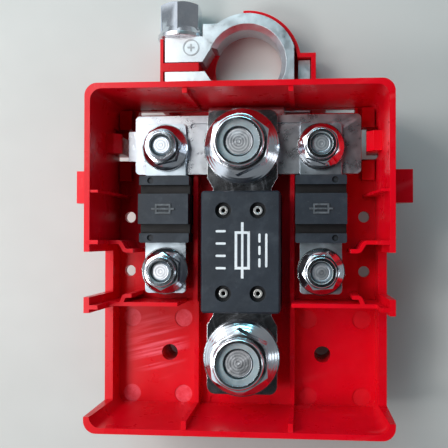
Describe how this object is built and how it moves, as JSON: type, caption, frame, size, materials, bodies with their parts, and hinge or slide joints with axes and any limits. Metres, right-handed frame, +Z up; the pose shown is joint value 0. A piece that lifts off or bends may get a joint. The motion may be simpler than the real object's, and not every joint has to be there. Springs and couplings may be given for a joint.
{
  "type": "battery terminal fuse block",
  "caption": "Open red plastic tray clamped to a battery post by a split ring, with a bus bar feeding large and small bolt-down fuses held by flange lock nuts",
  "frame": {"origin": "on the battery post's axis, at the clamp ring's lower face", "axes": "+X right across the tray, +Y from the tray towards the clamp bolt's head, +Z up out of the open tray"},
  "size_m": [0.0806, 0.1063, 0.0338],
  "materials": {
    "red_plastic": "moulded satin-gloss red nylon",
    "tinned_casting": "bright tin plating over a cast clamp",
    "plated_bar": "tin-plated copper bar",
    "plated_stud": "zinc plated, turned end",
    "plated_fuse_tab": "tin-plated strip",
    "plated_rivet": "plated hollow rivet",
    "fuse_case": "moulded dark thermoset",
    "nylon": "natural nylon",
    "plated_nut": "blue-white zinc plating",
    "plated_washer": "zinc plating",
    "plated_bolt": "blue-white zinc plating"
  },
  "bodies": {
    "block": {"tray": "red_plastic", "terminal_shroud": "red_plastic", "battery_clamp": "tinned_casting", "bus_bar": "plated_bar", "upper_m8_stud": "plated_stud", "lower_m8_stud": "plated_stud", "upper_left_m5_stud": "plated_stud", "upper_right_m5_stud": "plated_stud", "lower_left_m5_stud": "plated_stud", "lower_right_m5_stud": "plated_stud", "large_fuse_element": "plated_fuse_tab", "large_fuse_upper_case": "fuse_case", "large_fuse_lower_case": "fuse_case", "large_fuse_rivets": "plated_rivet", "left_fuse_element": "plated_fuse_tab", "left_fuse_upper_case": "fuse_case", "left_fuse_lower_case": "fuse_case", "right_fuse_element": "plated_fuse_tab", "right_fuse_upper_case": "fuse_case", "right_fuse_lower_case": "fuse_case"},
    "upper_m8_nylon_ring": {"upper_m8_nylon_ring": "nylon"},
    "upper_m8_nut": {"upper_m8_nut": "plated_nut"},
    "lower_m8_nylon_ring": {"lower_m8_nylon_ring": "nylon"},
    "lower_m8_nut": {"lower_m8_nut": "plated_nut"},
    "upper_left_m5_nylon_ring": {"upper_left_m5_nylon_ring": "nylon"},
    "upper_left_m5_nut": {"upper_left_m5_nut": "plated_nut"},
    "upper_right_m5_nylon_ring": {"upper_right_m5_nylon_ring": "nylon"},
    "upper_right_m5_nut": {"upper_right_m5_nut": "plated_nut"},
    "lower_left_m5_nylon_ring": {"lower_left_m5_nylon_ring": "nylon"},
    "lower_left_m5_nut": {"lower_left_m5_nut": "plated_nut"},
    "lower_right_m5_nylon_ring": {"lower_right_m5_nylon_ring": "nylon"},
    "lower_right_m5_nut": {"lower_right_m5_nut": "plated_nut"},
    "clamp_washer": {"clamp_washer": "plated_washer"},
    "clamp_bolt": {"clamp_bolt": "plated_bolt"}
  },
  "joints": [
    {"name": "upper_m8_lift", "type": "slide", "parent": "block", "child": "upper_m8_nylon_ring", "axis": [0, 0, 1], "range_m": [0, 0.01]},
    {"name": "upper_m8_turn", "type": "hinge", "parent": "upper_m8_nylon_ring", "child": "upper_m8_nut", "pos_m": [0, -0.0234, 0.02], "axis": [0, 0, 1], "range_deg": [0, 2886]},
    {"name": "lower_m8_lift", "type": "slide", "parent": "block", "child": "lower_m8_nylon_ring", "axis": [0, 0, 1], "range_m": [0, 0.01]},
    {"name": "lower_m8_turn", "type": "hinge", "parent": "lower_m8_nylon_ring", "child": "lower_m8_nut", "pos_m": [0, -0.0742, 0.02], "axis": [0, 0, 1], "range_deg": [0, 2886]},
    {"name": "upper_left_m5_lift", "type": "slide", "parent": "block", "child": "upper_left_m5_nylon_ring", "axis": [0, 0, 1], "range_m": [0, 0.0064]},
    {"name": "upper_left_m5_turn", "type": "hinge", "parent": "upper_left_m5_nylon_ring", "child": "upper_left_m5_nut", "pos_m": [-0.01895, -0.0235, 0.02], "axis": [0, 0, 1], "range_deg": [0, 2886]},
    {"name": "upper_right_m5_lift", "type": "slide", "parent": "block", "child": "upper_right_m5_nylon_ring", "axis": [0, 0, 1], "range_m": [0, 0.0064]},
    {"name": "upper_right_m5_turn", "type": "hinge", "parent": "upper_right_m5_nylon_ring", "child": "upper_right_m5_nut", "pos_m": [0.01895, -0.0235, 0.02], "axis": [0, 0, 1], "range_deg": [0, 2886]},
    {"name": "lower_left_m5_lift", "type": "slide", "parent": "block", "child": "lower_left_m5_nylon_ring", "axis": [0, 0, 1], "range_m": [0, 0.0064]},
    {"name": "lower_left_m5_turn", "type": "hinge", "parent": "lower_left_m5_nylon_ring", "child": "lower_left_m5_nut", "pos_m": [-0.01895, -0.0535, 0.02], "axis": [0, 0, 1], "range_deg": [0, 2886]},
    {"name": "lower_right_m5_lift", "type": "slide", "parent": "block", "child": "lower_right_m5_nylon_ring", "axis": [0, 0, 1], "range_m": [0, 0.0064]},
    {"name": "lower_right_m5_turn", "type": "hinge", "parent": "lower_right_m5_nylon_ring", "child": "lower_right_m5_nut", "pos_m": [0.01895, -0.0535, 0.02], "axis": [0, 0, 1], "range_deg": [0, 2886]},
    {"name": "clamp_bolt_back_out", "type": "slide", "parent": "block", "child": "clamp_washer", "axis": [0, 1, 0], "range_m": [0, 0.005]},
    {"name": "clamp_bolt_turn", "type": "hinge", "parent": "clamp_washer", "child": "clamp_bolt", "pos_m": [-0.0179, 0, 0.004], "axis": [0, 1, 0], "range_deg": [0, 1806]}
  ],
  "couplings": [
    {"joint": "upper_m8_turn", "follows": "upper_m8_lift", "rad_per_m": 5026.5},
    {"joint": "lower_m8_turn", "follows": "lower_m8_lift", "rad_per_m": 5026.5},
    {"joint": "upper_left_m5_turn", "follows": "upper_left_m5_lift", "rad_per_m": 7854},
    {"joint": "upper_right_m5_turn", "follows": "upper_right_m5_lift", "rad_per_m": 7854},
    {"joint": "lower_left_m5_turn", "follows": "lower_left_m5_lift", "rad_per_m": 7854},
    {"joint": "lower_right_m5_turn", "follows": "lower_right_m5_lift", "rad_per_m": 7854},
    {"joint": "clamp_bolt_turn", "follows": "clamp_bolt_back_out", "rad_per_m": 6283.2}
  ]
}
